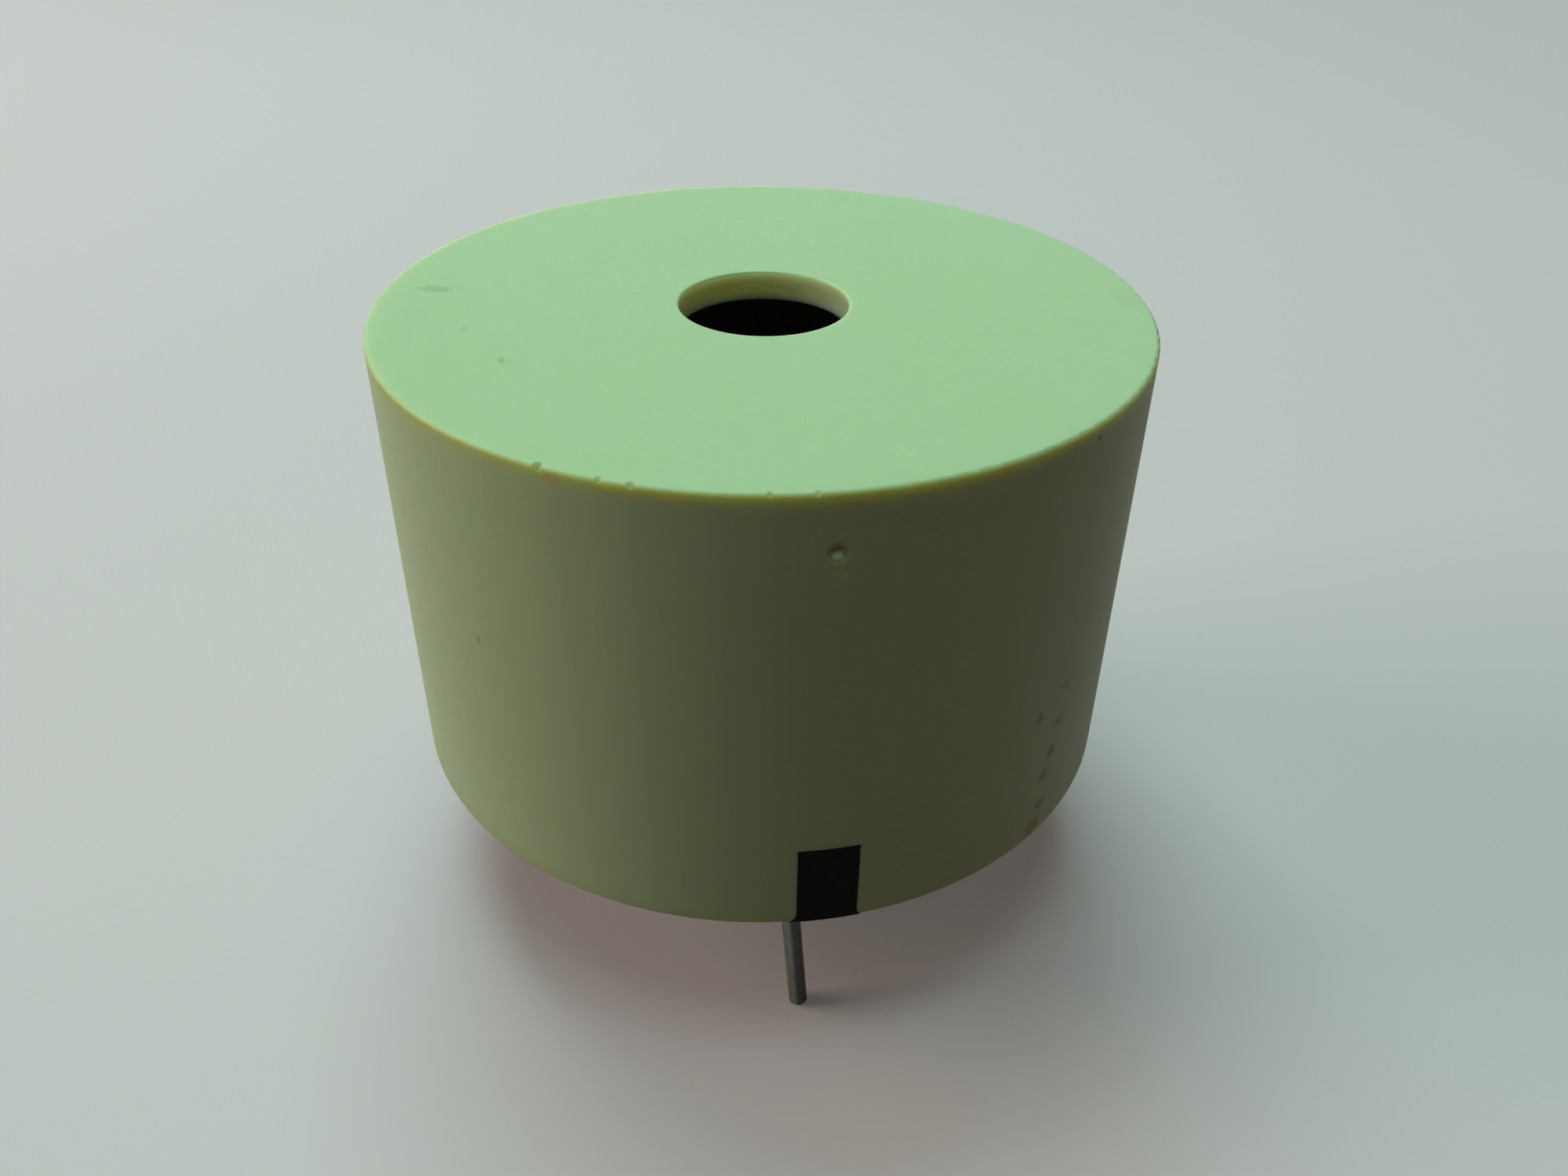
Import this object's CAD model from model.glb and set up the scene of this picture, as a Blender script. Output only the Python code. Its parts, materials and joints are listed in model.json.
"""A magnetic buzzer on its two pins: the finish of every piece, a plain pale studio and the camera."""

import json
import math

import bmesh
import bpy
from mathutils import Matrix, Vector, geometry, noise


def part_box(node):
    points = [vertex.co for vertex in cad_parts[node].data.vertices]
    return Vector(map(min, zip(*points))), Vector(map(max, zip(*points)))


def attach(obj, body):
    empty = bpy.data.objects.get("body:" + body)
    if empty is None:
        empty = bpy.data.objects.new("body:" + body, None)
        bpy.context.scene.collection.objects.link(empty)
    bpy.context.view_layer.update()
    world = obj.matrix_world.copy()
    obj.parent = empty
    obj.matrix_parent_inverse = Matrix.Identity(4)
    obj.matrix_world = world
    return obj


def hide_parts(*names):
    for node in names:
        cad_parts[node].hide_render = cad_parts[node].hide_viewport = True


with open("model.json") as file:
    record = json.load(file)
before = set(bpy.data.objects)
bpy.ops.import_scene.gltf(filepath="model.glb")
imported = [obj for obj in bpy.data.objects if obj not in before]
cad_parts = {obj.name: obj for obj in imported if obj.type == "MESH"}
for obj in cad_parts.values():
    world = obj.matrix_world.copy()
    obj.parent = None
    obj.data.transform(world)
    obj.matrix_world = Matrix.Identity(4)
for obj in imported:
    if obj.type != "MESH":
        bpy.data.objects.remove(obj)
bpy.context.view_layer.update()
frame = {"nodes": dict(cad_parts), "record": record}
scene = bpy.context.scene
MM = 0.001

# Sizes taken from the frame
CASE_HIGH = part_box("case")[1]
CASE_R = CASE_HIGH.x
CASE_H = CASE_HIGH.z
SEAL_LOW, SEAL_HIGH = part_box("potting_seal")
PIN_LOW, PIN_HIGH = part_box("negative_pin")
PIN_Y = (PIN_LOW.y + PIN_HIGH.y) / 2
PIN_TIP_Z = PIN_LOW.z
SHOULDER_R = PIN_HIGH.x

# Sizes that no box gives: the sound hole, and the chamber under it that the black frame walls in
SOUND_HOLE_R = 2.65 * MM
CHAMBER_Z = 8.5 * MM
CHAMBER_R = 10.5 * MM

# Camera, as the photograph was taken: the side it stands on, its distance and height, and its aim
CAMERA_AZIMUTH = -4.74
CAMERA_DISTANCE = 38.33 * MM
CAMERA_HEIGHT = 29.67 * MM
CAMERA_ROLL = 0.91
CAMERA_LENS = 29.77
CAMERA_SENSOR = 36
AIM_RIGHT = 0.766 * MM
AIM_HEIGHT = 3.9 * MM

# Colours of the plastic, linear: its own, a warmer one, and the lower and upper part of the sound hole's wall
IVORY = (0.47, 0.585, 0.36)
IVORY_WARM = (0.46, 0.53, 0.26)
IVORY_DEEP = (0.51, 0.56, 0.37)
IVORY_SOILED = (0.335, 0.36, 0.265)

# How far light soaks into the plastic: in general, in the sound hole's wall, and how much further at the rim
# and in a nick
SOAK = 0.45 * MM
SOAK_WALL = 4.5 * MM
SOAK_RIM = 0.7 * MM
SOAK_NICK = 3.0 * MM

# Tints that multiply the colour of the plastic
EDGE_TINT = (1.0, 0.90, 0.60)
GREY_DIRT = (0.62, 0.64, 0.62)
DARK_DIRT = (0.40, 0.38, 0.32)
BROWN_DIRT = (0.52, 0.42, 0.36)
RUST = (0.85, 0.45, 0.14)
SCRATCH = (1.12, 1.10, 1.10)
TORN = (1.45, 1.40, 1.25)
YELLOW_STAIN = (1.3, 1.2, 0.95)
RED_STAIN = (1.05, 0.82, 0.85)

# Marks on the side: angle round from the front in degrees, height, half width and half height in mm,
# lean in degrees, tint and strength
SIDE_MARKS = [
    (42.3, 14.17, 0.12, 0.12, 0, DARK_DIRT, 0.9),
    (-46.0, 8.18, 0.09, 0.14, 20, DARK_DIRT, 0.45),
    (-29.8, 14.33, 0.22, 0.18, 0, RED_STAIN, 0.6),
    (3.9, 12.96, 0.16, 0.14, 0, DARK_DIRT, 0.35),
    (4.1, 12.70, 0.18, 0.18, 0, TORN, 0.9),
    (4.5, 12.22, 0.26, 0.20, 0, YELLOW_STAIN, 0.5),
    (41.2, 0.45, 0.44, 0.40, 15, RUST, 0.8),
    (42.4, 1.24, 0.34, 0.24, 20, BROWN_DIRT, 0.55),
    (42.2, 2.47, 0.27, 0.25, 25, BROWN_DIRT, 0.75),
    (43.2, 3.23, 0.27, 0.30, 15, BROWN_DIRT, 0.75),
    (44.2, 4.39, 0.28, 0.26, 0, BROWN_DIRT, 0.55),
    (38.6, 5.15, 0.18, 0.22, 8, BROWN_DIRT, 0.6),
    (44.5, 5.74, 0.26, 0.24, 10, BROWN_DIRT, 0.3),
]
SIDE_MARK_DEPTH = 1 * MM

# Nicks in the edge round the top: angle round from the front in degrees, width in mm and strength of the dirt
NICKS = [(-32, 0.26, 0.55), (-24, 0.2, 0.38), (-20, 0.22, 0.38), (-4, 0.18, 0.38), (1.5, 0.18, 0.38)]
NICK_LEAN = math.radians(45)
NICK_REACH = 0.6

# Marks on the top: x and y, half width and half depth in mm, turn in degrees, tint and strength
TOP_MARKS = [
    (-10.21, 1.67, 0.62, 0.30, -17, GREY_DIRT, 0.55),
    (-7.69, -3.91, 0.11, 0.24, 15, GREY_DIRT, 0.6),
    (-8.99, -1.57, 0.10, 0.20, 0, GREY_DIRT, 0.4),
    (-7.25, -4.26, 0.45, 0.35, 0, GREY_DIRT, 0.12),
    (11.31, -0.36, 0.35, 0.80, 0, GREY_DIRT, 0.15),
    (2.69, -10.08, 0.04, 0.40, 35, SCRATCH, 0.6),
]
TOP_MARK_DEPTH = 0.1 * MM

# End caps of the small parts on the board
CAP_TIN = (0.62, 0.62, 0.6)
CAP_LENGTH = 0.5 * MM

# Poured resin: its ripples, and how far it climbs the wall and the pins and over what distance that fades
RIPPLE_HEIGHT = 0.02 * MM
RIPPLE_LENGTH = 2.4 * MM
WALL_CLIMB = 0.11 * MM
WALL_FADE = 0.28 * MM
PIN_CLIMB = 0.12 * MM
PIN_FADE = 0.22 * MM

# Its mesh: the gap at a pin, points round the wall and round a pin, rings in mm that follow the climb, closer
# together at a pin, and the grid between them
PIN_GAP = 0.01 * MM
WALL_POINTS = 240
PIN_POINTS = 48
RING_GAPS = (0.04, 0.10, 0.18, 0.30, 0.46, 0.66, 0.9)
PIN_RING_SHARE = 0.8
RING_CLEARANCE = 0.02 * MM
GRID_STEP = 0.3 * MM
GRID_ROW = 0.866
GRID_WALL_GAP = 1.05 * MM
GRID_PIN_GAP = 0.8 * MM

# Colours of the studio, linear. Light that bounces sees FLOOR_BOUNCE and AMBIENT, not the pale ones.
FLOOR_PALE = (0.72, 0.54, 0.60)
FLOOR_GLOW = (0.04, 0.05, 0.048)
FLOOR_BOUNCE = (0.15, 0.068, 0.055)
BACKDROP = (0.62, 0.63, 0.62)
AMBIENT = (0.075, 0.056, 0.04)

# Half width of the floor in metres, and the shares of it between which it fades out
FLOOR_REACH = 0.5
FLOOR_FADE_START = 0.3
FLOOR_FADE_END = 0.95

# Soft lights: azimuth and elevation in degrees, size in metres, level and colour
LAMP_DISTANCE = 0.45
LAMPS = {
    "key": (-160, 65, 0.25, 0.62, (0.55, 1.0, 0.88)),
    "ceiling": (-25, 80, 0.20, 0.22, (0.56, 1.0, 0.88)),
    "left": (-93, 20, 0.25, 0.52, (0.97, 0.94, 0.74)),
    "right": (125, 25, 0.20, 0.05, (0.88, 1.0, 0.65)),
}


# Shader nodes

def socket_name(word):
    """base_color as the socket is called: Base Color."""
    return word.replace("_", " ").title().replace("Ior", "IOR")


class Shader:
    """A new material with one Principled shader, and short calls that add nodes to it."""

    def __init__(self, name, **sockets):
        self.material = bpy.data.materials.new(name)
        self.material.use_nodes = True
        self.tree = self.material.node_tree
        self.principled = self.tree.nodes["Principled BSDF"]
        self.set(**sockets)
        coords = self.tree.nodes.new("ShaderNodeTexCoord")
        self.coords = coords.outputs["Object"]
        self.normal = coords.outputs["Normal"]

    def put(self, socket, value):
        """Links an output to a socket, or sets a number or colour on it."""
        if isinstance(value, bpy.types.NodeSocket):
            self.tree.links.new(value, socket)
        elif hasattr(value, "__len__") and len(socket.default_value) == 4:
            socket.default_value = (*value, 1)
        else:
            socket.default_value = value

    def set(self, **sockets):
        """Sets sockets of the Principled shader by name."""
        for name, value in sockets.items():
            self.put(self.principled.inputs[socket_name(name)], value)

    def node(self, kind, settings, **inputs):
        """Adds a node with its settings, and with inputs by name."""
        made = self.tree.nodes.new(kind)
        for name, value in settings.items():
            setattr(made, name, value)
        for name, value in inputs.items():
            self.put(made.inputs[socket_name(name)], value)
        return made

    def math(self, operation, a, b=0.0):
        """One step of arithmetic."""
        made = self.node("ShaderNodeMath", {"operation": operation})
        self.put(made.inputs[0], a)
        self.put(made.inputs[1], b)
        return made.outputs[0]

    def vector(self, operation, a, b=(0, 0, 0)):
        """One step of arithmetic on vectors."""
        made = self.node("ShaderNodeVectorMath", {"operation": operation})
        self.put(made.inputs[0], a)
        self.put(made.inputs[1], b)
        return made.outputs["Value" if operation in ("LENGTH", "DOT_PRODUCT") else "Vector"]

    def part(self, axis):
        """One of the coordinates x, y and z."""
        return self.node("ShaderNodeSeparateXYZ", {}, vector=self.coords).outputs[axis.upper()]

    def radius(self):
        """Distance from the part's axis."""
        return self.vector("LENGTH", self.vector("MULTIPLY", self.coords, (1, 1, 0)))

    def grain(self, size, detail=4.0, stretch=(1, 1, 1)):
        """Noise from 0 to 1 whose features are about size metres across, times stretch along each axis."""
        scale = tuple(1 / (size * share) for share in stretch)
        place = self.vector("MULTIPLY", self.coords, scale)
        made = self.node("ShaderNodeTexNoise", {}, vector=place, scale=1.0, detail=detail)
        return made.outputs["Fac"]

    def lines(self, distance, pitch):
        """Noise along one distance only, for turned rings and layers about pitch metres apart."""
        settings = {"noise_dimensions": "1D"}
        made = self.node("ShaderNodeTexNoise", settings, w=distance, scale=1 / pitch, detail=3.0)
        return made.outputs["Fac"]

    def cells(self, size):
        """Distance to the nearest of points scattered about size metres apart, in shares of size."""
        made = self.node("ShaderNodeTexVoronoi", {}, vector=self.coords, scale=1 / size)
        return made.outputs["Distance"]

    def steps(self, value, low, high, to_low=0.0, to_high=1.0):
        """The value eased from low..high to to_low..to_high, and clamped."""
        made = self.node("ShaderNodeMapRange", {"interpolation_type": "SMOOTHSTEP"}, value=value,
                         from_min=low, from_max=high, to_min=to_low, to_max=to_high)
        return made.outputs["Result"]

    def spread(self, value, to_low=0.0, to_high=1.0):
        """Noise, most of which lies from 0.3 to 0.7, spread over to_low..to_high."""
        return self.steps(value, 0.3, 0.7, to_low, to_high)

    def blend(self, share, a, b, how="MIX"):
        """Colour a with a share of b laid over it."""
        made = self.node("ShaderNodeMix", {"data_type": "RGBA", "blend_type": how})
        sockets = [socket for socket in made.inputs if socket.type == "RGBA"]
        self.put(made.inputs["Factor"], share)
        self.put(sockets[0], a)
        self.put(sockets[1], b)
        return next(socket for socket in made.outputs if socket.type == "RGBA")

    def stain(self, colour, mask, strength, tint):
        """The colour times a tint, where the mask is and as strong as it says."""
        return self.blend(self.math("MULTIPLY", mask, strength), colour, tint, "MULTIPLY")

    def spot(self, place, half, turn, ragged):
        """1 in a spot round place, 0 outside. Half sizes run along its turned axes. Its edge is ragged."""
        local = self.node("ShaderNodeMapping", {"vector_type": "TEXTURE"}, vector=self.coords,
                          location=place, rotation=turn, scale=half).outputs["Vector"]
        return self.steps(self.math("ADD", self.vector("LENGTH", local), ragged), 0.55, 1.15, 1.0, 0.0)

    def bump(self, height, strength, distance):
        """Bumps the surface by a height from 0 to 1, which stands for distance metres."""
        made = self.node("ShaderNodeBump", {}, strength=strength, distance=distance, height=height)
        self.set(normal=made.outputs["Normal"])


# Materials

def on_side(turn, z):
    """Point on the case's side, turned round from the front, at height z."""
    return (CASE_R * math.sin(turn), -CASE_R * math.cos(turn), z)


def soil(s, colour, soak):
    """Lays the marks and nicks over the case's colour, and lets the light soak further into the nicks."""
    ragged = s.steps(s.grain(0.12 * MM), 0.2, 0.8, -0.35, 0.35)
    for angle, height, half_w, half_h, lean, tint, strength in SIDE_MARKS:
        turn = math.radians(angle)
        half = (half_w * MM, SIDE_MARK_DEPTH, half_h * MM)
        spot = s.spot(on_side(turn, height * MM), half, (0, math.radians(lean), turn), ragged)
        colour = s.stain(colour, spot, strength, tint)
    for angle, width, strength in NICKS:
        turn = math.radians(angle)
        reach = NICK_REACH * width * MM
        spot = s.spot(on_side(turn, CASE_H), (reach, SIDE_MARK_DEPTH, reach), (NICK_LEAN, 0, turn), 0.0)
        spot = s.steps(spot, 0.0, 0.6)
        colour = s.stain(colour, spot, strength, DARK_DIRT)
        soak = s.math("ADD", soak, s.steps(spot, 0.0, 1.0, 0.0, SOAK_NICK))
    for x, y, half_w, half_d, turn, tint, strength in TOP_MARKS:
        half = (half_w * MM, half_d * MM, TOP_MARK_DEPTH)
        spot = s.spot((x * MM, y * MM, CASE_H), half, (0, 0, math.radians(turn)), ragged)
        colour = s.stain(colour, spot, strength, tint)
    return colour, soak


def ivory_plastic():
    """Matt moulded plastic that light soaks into, yellowed along its edges, with a few marks and nicks."""
    s = Shader("ivory_plastic", specular_ior_level=0.18, subsurface_weight=1.0,
               subsurface_radius=(1.0, 0.65, 0.30))
    cloud = s.grain(6 * MM, detail=2.0)
    mottle = s.grain(0.5 * MM)
    fine = s.grain(0.08 * MM, detail=2.0)
    colour = s.blend(s.steps(cloud, 0.35, 0.7, 0.0, 0.18), IVORY, IVORY_WARM)
    colour = s.blend(s.spread(mottle, 0.0, 0.06), colour, IVORY_WARM)

    # A warm line under the top rim, and a warm lower edge
    z = s.part("z")
    outside = s.steps(s.radius(), CASE_R - 0.3 * MM, CASE_R - 0.1 * MM)
    under_rim = s.math("MULTIPLY", s.steps(z, CASE_H - 0.55 * MM, CASE_H - 0.14 * MM),
                       s.steps(z, CASE_H - 0.08 * MM, CASE_H - 0.01 * MM, 1.0, 0.0))
    line = s.math("MULTIPLY", s.math("MULTIPLY", under_rim, outside), s.steps(mottle, 0.2, 0.7, 0.5, 1.0))
    colour = s.blend(line, colour, EDGE_TINT, "MULTIPLY")
    colour = s.blend(s.steps(z, 0.0, 0.7 * MM, 0.4, 0.0), colour, EDGE_TINT, "MULTIPLY")

    # The wall of the sound hole, and how far light soaks into the plastic there, at the rim and elsewhere
    near_hole = s.steps(s.radius(), SOUND_HOLE_R + 0.02 * MM, SOUND_HOLE_R + 0.10 * MM, 1.0, 0.0)
    wall = s.math("MULTIPLY", near_hole, s.steps(z, CASE_H - 0.14 * MM, CASE_H - 0.03 * MM, 1.0, 0.0))
    upper = s.steps(z, CASE_H - 0.9 * MM, CASE_H - 0.3 * MM)
    colour = s.blend(wall, colour, s.blend(upper, IVORY_DEEP, IVORY_SOILED))
    rim = s.math("MULTIPLY", s.steps(s.radius(), CASE_R - 0.7 * MM, CASE_R - 0.3 * MM),
                 s.steps(z, CASE_H - 0.8 * MM, CASE_H - 0.35 * MM))
    soak = s.math("ADD", s.steps(wall, 0.0, 1.0, SOAK, SOAK_WALL), s.steps(rim, 0.0, 1.0, 0.0, SOAK_RIM))

    colour, soak = soil(s, colour, soak)
    s.set(base_color=colour, roughness=s.steps(mottle, 0.25, 0.75, 0.46, 0.58), subsurface_scale=soak)
    s.bump(s.math("ADD", fine, mottle), 0.15, 0.004 * MM)
    return s.material


def black_plastic():
    """Satin black moulding with a fine grain and a trace of dust, greyed inside the sound chamber."""
    s = Shader("black_plastic", specular_ior_level=0.05)
    grain = s.grain(0.12 * MM)
    dust = s.steps(s.grain(0.6 * MM, detail=6.0), 0.55, 0.8)
    chamber = s.math("MULTIPLY", s.steps(s.part("z"), CHAMBER_Z, CHAMBER_Z + 0.5 * MM),
                     s.steps(s.radius(), CHAMBER_R - 0.1 * MM, CHAMBER_R + 0.1 * MM, 1.0, 0.0))
    colour = s.blend(dust, (0.003, 0.0025, 0.0025), (0.009, 0.008, 0.008))
    s.set(
        base_color=s.blend(chamber, colour, (0.20, 0.165, 0.16)),
        roughness=s.spread(grain, 0.5, 0.7),
    )
    s.bump(grain, 0.3, 0.01 * MM)
    return s.material


def potting_resin():
    """Dark poured resin: glossy, with clouds of filler and pin-prick bubbles."""
    s = Shader("potting_resin", specular_ior_level=0.5)
    cloud = s.grain(2.5 * MM, detail=3.0)
    filler = s.grain(0.15 * MM, detail=6.0)
    bubble = s.steps(s.cells(1.6 * MM), 0.05, 0.11, 1.0, 0.0)
    colour = s.blend(s.spread(cloud), (0.010, 0.009, 0.008), (0.024, 0.020, 0.016))
    colour = s.blend(s.steps(filler, 0.62, 0.75, 0.0, 0.5), colour, (0.06, 0.055, 0.045))
    s.set(
        base_color=s.blend(bubble, colour, (0.004, 0.004, 0.004)),
        roughness=s.spread(cloud, 0.16, 0.34),
    )
    s.bump(s.math("SUBTRACT", s.math("MULTIPLY", filler, 0.15), bubble), 0.5, 0.04 * MM)
    return s.material


def board_laminate():
    """Paper laminate with darker fibres."""
    s = Shader("board_laminate", specular_ior_level=0.4)
    fibre = s.grain(0.25 * MM, detail=6.0, stretch=(5, 1, 1))
    s.set(
        base_color=s.blend(s.spread(fibre), (0.30, 0.17, 0.05), (0.50, 0.33, 0.11)),
        roughness=s.spread(fibre, 0.4, 0.6),
    )
    s.bump(fibre, 0.3, 0.01 * MM)
    return s.material


def tinned_wire():
    """Dull tin plating, drawn along the wire, greyed by handling and tarnished on its right side."""
    s = Shader("tinned_wire", metallic=1.0)
    drawn = s.grain(0.05 * MM, detail=4.0, stretch=(1, 1, 20))
    tarnish = s.grain(0.8 * MM, detail=5.0)
    colour = s.blend(s.steps(tarnish, 0.35, 0.75, 0.0, 0.8), (0.31, 0.34, 0.30), (0.20, 0.21, 0.19))
    colour = s.blend(s.spread(drawn, 0.0, 0.4), colour, (0.17, 0.17, 0.16))
    dull = s.steps(s.vector("DOT_PRODUCT", s.normal, (1, 0, 0)), -0.5, 0.1, 0.0, 0.92)
    s.set(
        base_color=s.blend(dull, colour, (0.06, 0.055, 0.055)),
        roughness=s.spread(tarnish, 0.30, 0.46),
    )
    s.bump(drawn, 0.2, 0.006 * MM)
    return s.material


def solder():
    """Bright solder with a frosted skin."""
    s = Shader("solder", metallic=1.0)
    frost = s.grain(0.1 * MM, detail=5.0)
    s.set(
        base_color=s.blend(s.steps(frost, 0.35, 0.7), (0.66, 0.67, 0.66), (0.46, 0.46, 0.45)),
        roughness=s.spread(frost, 0.2, 0.42),
    )
    s.bump(frost, 0.25, 0.01 * MM)
    return s.material


def transistor_epoxy():
    """Black epoxy body between tinned legs."""
    s = Shader("transistor_epoxy")
    low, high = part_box("driver_transistor")
    leg_length = 0.55 * MM
    half_body = (high.x - low.x) / 2 - leg_length
    sideways = s.math("ABSOLUTE", s.math("SUBTRACT", s.part("x"), (low.x + high.x) / 2))
    leg = s.steps(sideways, half_body, half_body + 0.02 * MM)
    grain = s.grain(0.06 * MM)
    epoxy = s.blend(s.spread(grain), (0.012, 0.012, 0.012), (0.03, 0.03, 0.03))
    s.set(
        base_color=s.blend(leg, epoxy, (0.6, 0.6, 0.58)),
        metallic=leg,
        roughness=s.spread(grain, 0.4, 0.6),
    )
    s.bump(grain, 0.3, 0.008 * MM)
    return s.material


def end_caps(s, node):
    """1 on the two end caps of a small part that lies across the board's radius."""
    low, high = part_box(node)
    middle = (low + high) / 2
    across = Vector((-middle.y, middle.x, 0)).normalized()
    width, depth = high.x - low.x, high.y - low.y
    a, b = abs(across.x), abs(across.y)
    length = (depth * b - width * a) / (b * b - a * a)
    along = s.math("ABSOLUTE", s.vector("DOT_PRODUCT", s.vector("SUBTRACT", s.coords, middle), across))
    edge = length / 2 - CAP_LENGTH
    return s.steps(along, edge - 0.01 * MM, edge + 0.01 * MM)


def resistor_body():
    """Black glazed ceramic between tinned caps."""
    s = Shader("resistor_body")
    cap = end_caps(s, "base_resistor")
    grain = s.grain(0.1 * MM)
    glaze = s.blend(s.spread(grain), (0.02, 0.02, 0.022), (0.045, 0.045, 0.045))
    s.set(base_color=s.blend(cap, glaze, CAP_TIN), metallic=cap, roughness=s.spread(grain, 0.25, 0.45))
    s.bump(grain, 0.2, 0.008 * MM)
    return s.material


def diode_glass():
    """Amber glass between tinned caps."""
    s = Shader("diode_glass", coat_weight=0.5)
    cap = end_caps(s, "flyback_diode")
    cloud = s.grain(0.5 * MM)
    glass = s.blend(s.spread(cloud), (0.30, 0.08, 0.02), (0.45, 0.16, 0.05))
    s.set(base_color=s.blend(cap, glass, CAP_TIN), metallic=cap, roughness=s.spread(cloud, 0.1, 0.3))
    return s.material


def plated_iron():
    """Zinc plating over turned iron."""
    s = Shader("plated_iron", metallic=1.0)
    turned = s.lines(s.radius(), 0.06 * MM)
    spangle = s.grain(0.7 * MM, detail=5.0)
    s.set(
        base_color=s.blend(s.spread(spangle), (0.56, 0.57, 0.58), (0.42, 0.43, 0.45)),
        roughness=s.spread(turned, 0.24, 0.42),
    )
    s.bump(turned, 0.25, 0.008 * MM)
    return s.material


def bobbin_plastic():
    """Natural nylon, a little cloudy."""
    s = Shader("bobbin_plastic", subsurface_weight=0.3, subsurface_radius=(1.0, 0.8, 0.5),
               subsurface_scale=0.3 * MM)
    cloud = s.grain(1.2 * MM)
    s.set(
        base_color=s.blend(s.spread(cloud), (0.78, 0.76, 0.68), (0.70, 0.67, 0.56)),
        roughness=s.spread(cloud, 0.38, 0.5),
    )
    s.bump(s.grain(0.1 * MM), 0.2, 0.006 * MM)
    return s.material


def enamelled_copper():
    """Copper wire under clear enamel, each turn a little different."""
    s = Shader("enamelled_copper", metallic=1.0, coat_weight=0.4)
    turn = s.lines(s.part("z"), 0.12 * MM)
    stain = s.grain(0.6 * MM)
    colour = s.blend(s.spread(turn), (0.62, 0.24, 0.08), (0.46, 0.15, 0.045))
    s.set(
        base_color=s.blend(s.steps(stain, 0.55, 0.8, 0.0, 0.5), colour, (0.30, 0.09, 0.03)),
        roughness=s.spread(stain, 0.2, 0.36),
    )
    return s.material


def ferrite():
    """Sintered ferrite with pores and a ground skin."""
    s = Shader("ferrite")
    grit = s.grain(0.08 * MM, detail=6.0)
    pore = s.steps(s.cells(0.5 * MM), 0.08, 0.16, 1.0, 0.0)
    colour = s.blend(s.spread(grit), (0.035, 0.035, 0.04), (0.075, 0.075, 0.08))
    s.set(base_color=s.blend(pore, colour, (0.012, 0.012, 0.012)), roughness=s.spread(grit, 0.5, 0.75))
    s.bump(s.math("SUBTRACT", grit, pore), 0.4, 0.012 * MM)
    return s.material


def ring_plastic():
    """Plain black moulding for the ring that carries the diaphragm."""
    s = Shader("ring_plastic", specular_ior_level=0.3)
    grain = s.grain(0.15 * MM)
    s.set(
        base_color=s.blend(s.spread(grain), (0.012, 0.012, 0.012), (0.026, 0.026, 0.026)),
        roughness=s.spread(grain, 0.45, 0.62),
    )
    s.bump(grain, 0.3, 0.008 * MM)
    return s.material


def diaphragm_steel():
    """Rolled steel sheet, blackened."""
    s = Shader("diaphragm_steel", metallic=0.7)
    rolled = s.grain(0.06 * MM, detail=4.0, stretch=(30, 1, 1))
    bloom = s.grain(1.5 * MM, detail=4.0)
    colour = s.blend(s.steps(bloom, 0.35, 0.7), (0.13, 0.12, 0.12), (0.20, 0.185, 0.18))
    s.set(
        base_color=s.blend(s.steps(rolled, 0.4, 0.8, 0.0, 0.5), colour, (0.26, 0.25, 0.24)),
        roughness=s.spread(rolled, 0.36, 0.52),
    )
    s.bump(rolled, 0.15, 0.005 * MM)
    return s.material


FINISHES = {finish.__name__: finish() for finish in (
    ivory_plastic, black_plastic, potting_resin, board_laminate, tinned_wire, solder, transistor_epoxy,
    resistor_body, diode_glass, plated_iron, bobbin_plastic, enamelled_copper, ferrite, ring_plastic,
    diaphragm_steel,
)}


def paint_nodes():
    """Gives every node of the model the finish of its slot."""
    for subpart in frame["record"]["subparts"]:
        node = frame["nodes"][subpart["node"]]
        node.material_slots[0].material = FINISHES[subpart["material_slot"]]


# Potting resin as it was poured, with the case upside down

def ring_points(x, y, radius, count):
    """Points evenly round a circle."""
    turns = [2 * math.pi * i / count for i in range(count)]
    return [Vector((x + radius * math.cos(t), y + radius * math.sin(t))) for t in turns]


def resin_level(x, y, pins):
    """Height of the poured face: slow ripples, and a skin that climbs the wall and the pins to the rim."""
    ripple = RIPPLE_HEIGHT * noise.noise(Vector((x, y, 0)) / RIPPLE_LENGTH)
    wall_gap = max(0.0, SEAL_HIGH.x - math.hypot(x, y))
    climb = WALL_CLIMB * math.exp(-wall_gap / WALL_FADE)
    for px, py in pins:
        pin_gap = max(0.0, math.hypot(x - px, y - py) - SHOULDER_R)
        climb += PIN_CLIMB * math.exp(-pin_gap / PIN_FADE)
    return SEAL_LOW.z + RIPPLE_HEIGHT + ripple - climb


def resin_plan(pins, wall, hole_r):
    """Points and faces of the resin seen from above, with the holes for the pins still filled."""
    loops = [ring_points(0, 0, wall, WALL_POINTS)]
    loops += [ring_points(px, py, hole_r, PIN_POINTS) for px, py in pins]
    points, edges = [], []
    for loop in loops:
        first = len(points)
        points += loop
        edges += [(first + i, first + (i + 1) % len(loop)) for i in range(len(loop))]
    for gap in RING_GAPS:
        points += ring_points(0, 0, wall - gap * MM, WALL_POINTS)
        for px, py in pins:
            ring = ring_points(px, py, hole_r + gap * PIN_RING_SHARE * MM, PIN_POINTS)
            points += [p for p in ring if p.length < wall - RING_CLEARANCE]
    reach = int(wall / GRID_STEP)
    for i in range(-reach, reach + 1):
        for j in range(-reach, reach + 1):
            spot = Vector(((i + 0.5 * (j % 2)) * GRID_STEP, j * GRID_STEP * GRID_ROW))
            clear = min((spot - Vector(pin)).length for pin in pins) > hole_r + GRID_PIN_GAP
            if clear and spot.length < wall - GRID_WALL_GAP:
                points.append(spot)
    flat, _, faces, _, _, _ = geometry.delaunay_2d_cdt(points, edges, [], 1, 1e-7)
    return flat, faces


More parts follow.
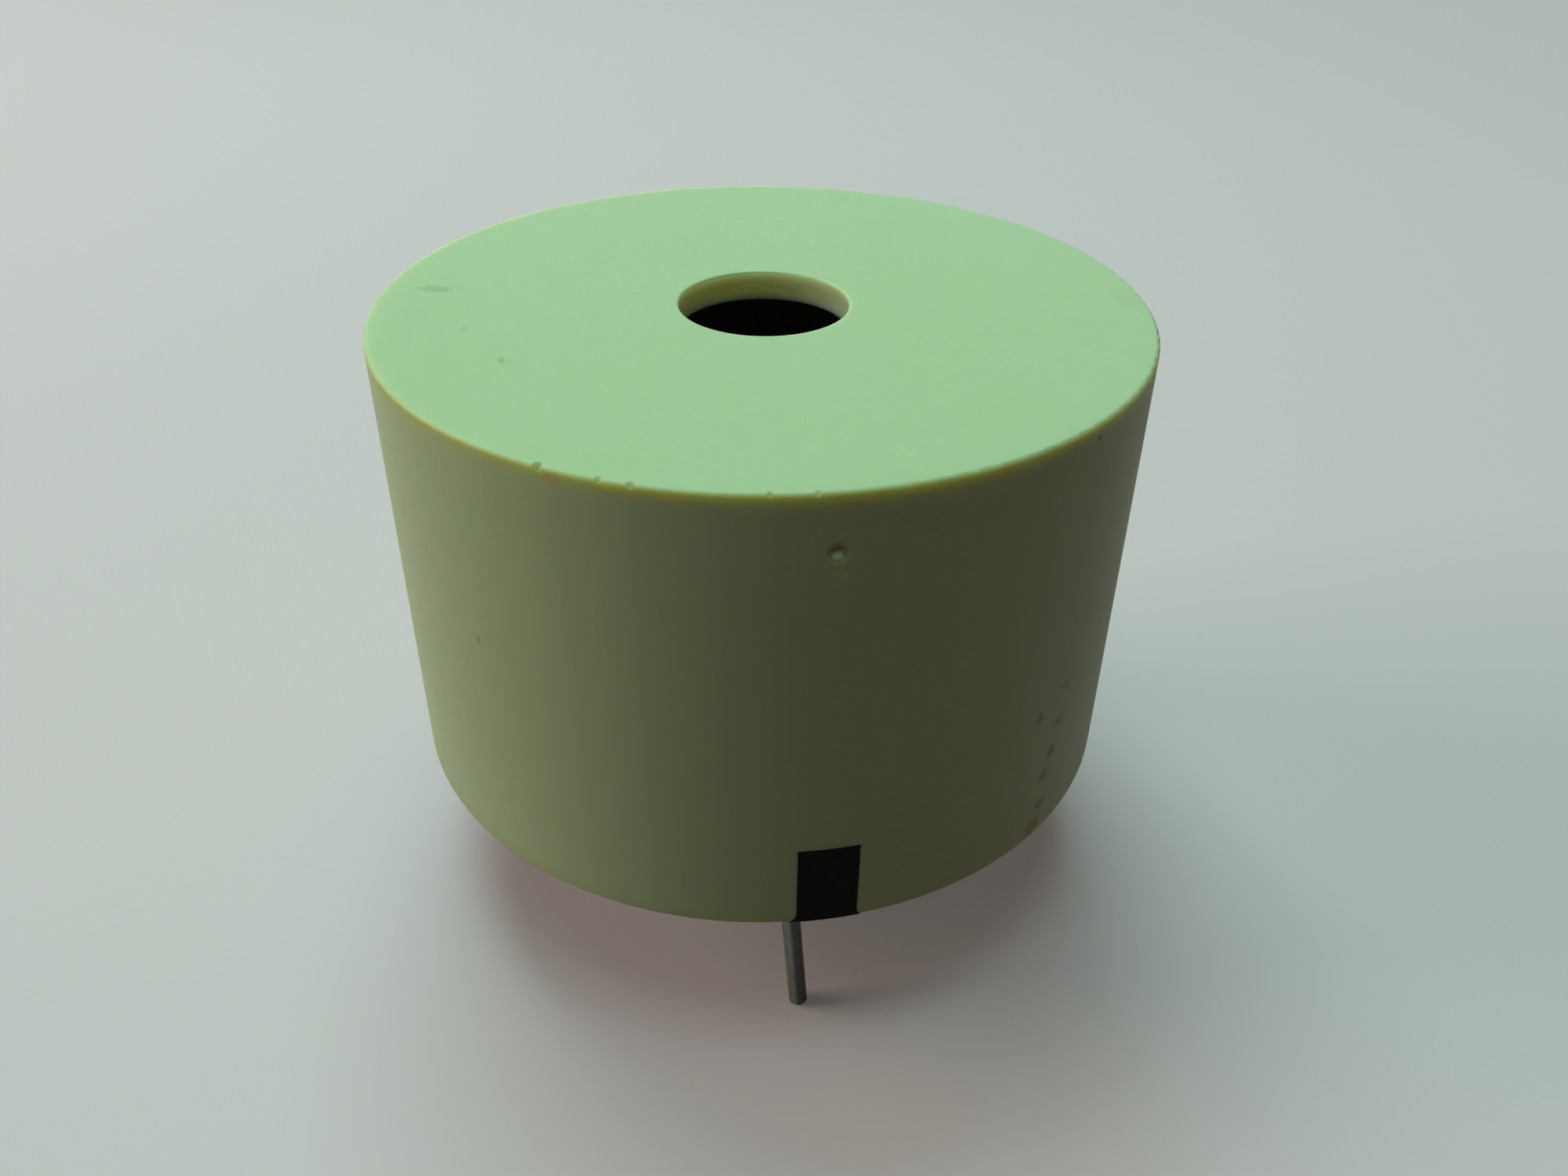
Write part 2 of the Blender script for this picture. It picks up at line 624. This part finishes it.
def make_resin():
    """The resin disc, with a hole for each pin."""
    pins = [(0.0, -PIN_Y), (0.0, PIN_Y)]
    hole_r = SHOULDER_R + PIN_GAP
    flat, faces = resin_plan(pins, SEAL_HIGH.x, hole_r)

    def solid(face):
        middle = sum((flat[i] for i in face), Vector((0, 0))) / len(face)
        return min((middle - Vector(pin)).length for pin in pins) > hole_r * 0.99

    bm = bmesh.new()
    low = [bm.verts.new((p.x, p.y, resin_level(p.x, p.y, pins))) for p in flat]
    high = [bm.verts.new((p.x, p.y, SEAL_HIGH.z)) for p in flat]
    for face in faces:
        if solid(face):
            bm.faces.new([low[i] for i in reversed(face)])
            bm.faces.new([high[i] for i in face])
    upright = {vert: high[i] for i, vert in enumerate(low)}
    for edge in [e for e in bm.edges if e.is_boundary and e.verts[0] in upright]:
        a, b = edge.verts
        bm.faces.new((a, b, upright[b], upright[a]))
    bmesh.ops.delete(bm, geom=[v for v in bm.verts if not v.link_faces], context="VERTS")
    bmesh.ops.recalc_face_normals(bm, faces=bm.faces)
    for face in bm.faces:
        face.smooth = abs(face.normal.z) > 0.5
    mesh = bpy.data.meshes.new("poured_resin")
    bm.to_mesh(mesh)
    bm.free()
    mesh.materials.append(FINISHES["potting_resin"])
    resin = bpy.data.objects.new("poured_resin", mesh)
    scene.collection.objects.link(resin)
    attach(resin, "root")
    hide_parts("potting_seal")


# Stage

def pale_to_camera(tree, pale, plain):
    """Colour pale where the camera or a reflection looks, and colour plain for the light that bounces."""
    path = tree.nodes.new("ShaderNodeLightPath")
    seen = path.outputs["Is Camera Ray"]
    for ray in ("Is Glossy Ray", "Is Transmission Ray"):
        either = tree.nodes.new("ShaderNodeMath")
        either.operation = "MAXIMUM"
        tree.links.new(seen, either.inputs[0])
        tree.links.new(path.outputs[ray], either.inputs[1])
        seen = either.outputs[0]
    mix = tree.nodes.new("ShaderNodeMix")
    mix.data_type = "RGBA"
    mix.inputs["A"].default_value = (*plain, 1)
    mix.inputs["B"].default_value = (*pale, 1)
    tree.links.new(seen, mix.inputs["Factor"])
    return mix.outputs["Result"]


def make_floor():
    """A plain pale floor at the tips of the pins, which fades into the backdrop far out."""
    half = FLOOR_REACH
    z = PIN_TIP_Z
    mesh = bpy.data.meshes.new("floor")
    corners = [(-half, -half, z), (half, -half, z), (half, half, z), (-half, half, z)]
    mesh.from_pydata(corners, [], [(0, 1, 2, 3)])
    floor = bpy.data.objects.new("floor", mesh)
    scene.collection.objects.link(floor)
    s = Shader("floor", roughness=1.0, specular_ior_level=0.0, emission_strength=1.0)
    s.set(
        base_color=pale_to_camera(s.tree, FLOOR_PALE, FLOOR_BOUNCE),
        emission_color=pale_to_camera(s.tree, FLOOR_GLOW, (0, 0, 0)),
        alpha=s.steps(s.radius(), half * FLOOR_FADE_START, half * FLOOR_FADE_END, 1.0, 0.0),
    )
    mesh.materials.append(s.material)


def direction(azimuth, elevation):
    """Unit vector toward a lamp, with azimuth counted from the camera's side toward its right."""
    turn = math.radians(azimuth + CAMERA_AZIMUTH)
    rise = math.radians(elevation)
    return Vector((math.sin(turn) * math.cos(rise), -math.cos(turn) * math.cos(rise), math.sin(rise)))


def make_softbox(name, azimuth, elevation, size, level, colour):
    """A square soft light that faces the case. At level 1 a surface that faces it shows its own colour."""
    lamp = bpy.data.lights.new(name, "AREA")
    lamp.size = size
    lamp.energy = level * (math.pi * LAMP_DISTANCE) ** 2
    lamp.color = colour
    toward = direction(azimuth, elevation)
    made = bpy.data.objects.new(name, lamp)
    made.location = toward * LAMP_DISTANCE + Vector((0, 0, CASE_H / 2))
    made.rotation_mode = "QUATERNION"
    made.rotation_quaternion = (-toward).to_track_quat("-Z", "Y")
    scene.collection.objects.link(made)


def make_world():
    """Weak warm light from all round, and a pale backdrop for the camera and for reflections."""
    world = bpy.data.worlds.new("world")
    world.use_nodes = True
    tree = world.node_tree
    tree.links.new(pale_to_camera(tree, BACKDROP, AMBIENT), tree.nodes["Background"].inputs["Color"])
    scene.world = world


def make_camera():
    """The camera of the photograph."""
    data = bpy.data.cameras.new("camera")
    data.lens = CAMERA_LENS
    data.sensor_width = CAMERA_SENSOR
    data.clip_start = 1 * MM
    camera = bpy.data.objects.new("camera", data)
    scene.collection.objects.link(camera)
    turn = Matrix.Rotation(math.radians(CAMERA_AZIMUTH), 3, "Z")
    camera.location = turn @ Vector((0, -CAMERA_DISTANCE, CAMERA_HEIGHT))
    aim = turn @ Vector((AIM_RIGHT, 0, AIM_HEIGHT))
    look = (aim - camera.location).to_track_quat("-Z", "Y").to_matrix()
    camera.rotation_euler = (look @ Matrix.Rotation(math.radians(CAMERA_ROLL), 3, "Z")).to_euler()
    scene.camera = camera


paint_nodes()
make_resin()
make_floor()
for lamp_name, lamp_values in LAMPS.items():
    make_softbox(lamp_name, *lamp_values)
make_world()
make_camera()
scene.view_settings.view_transform = "Standard"
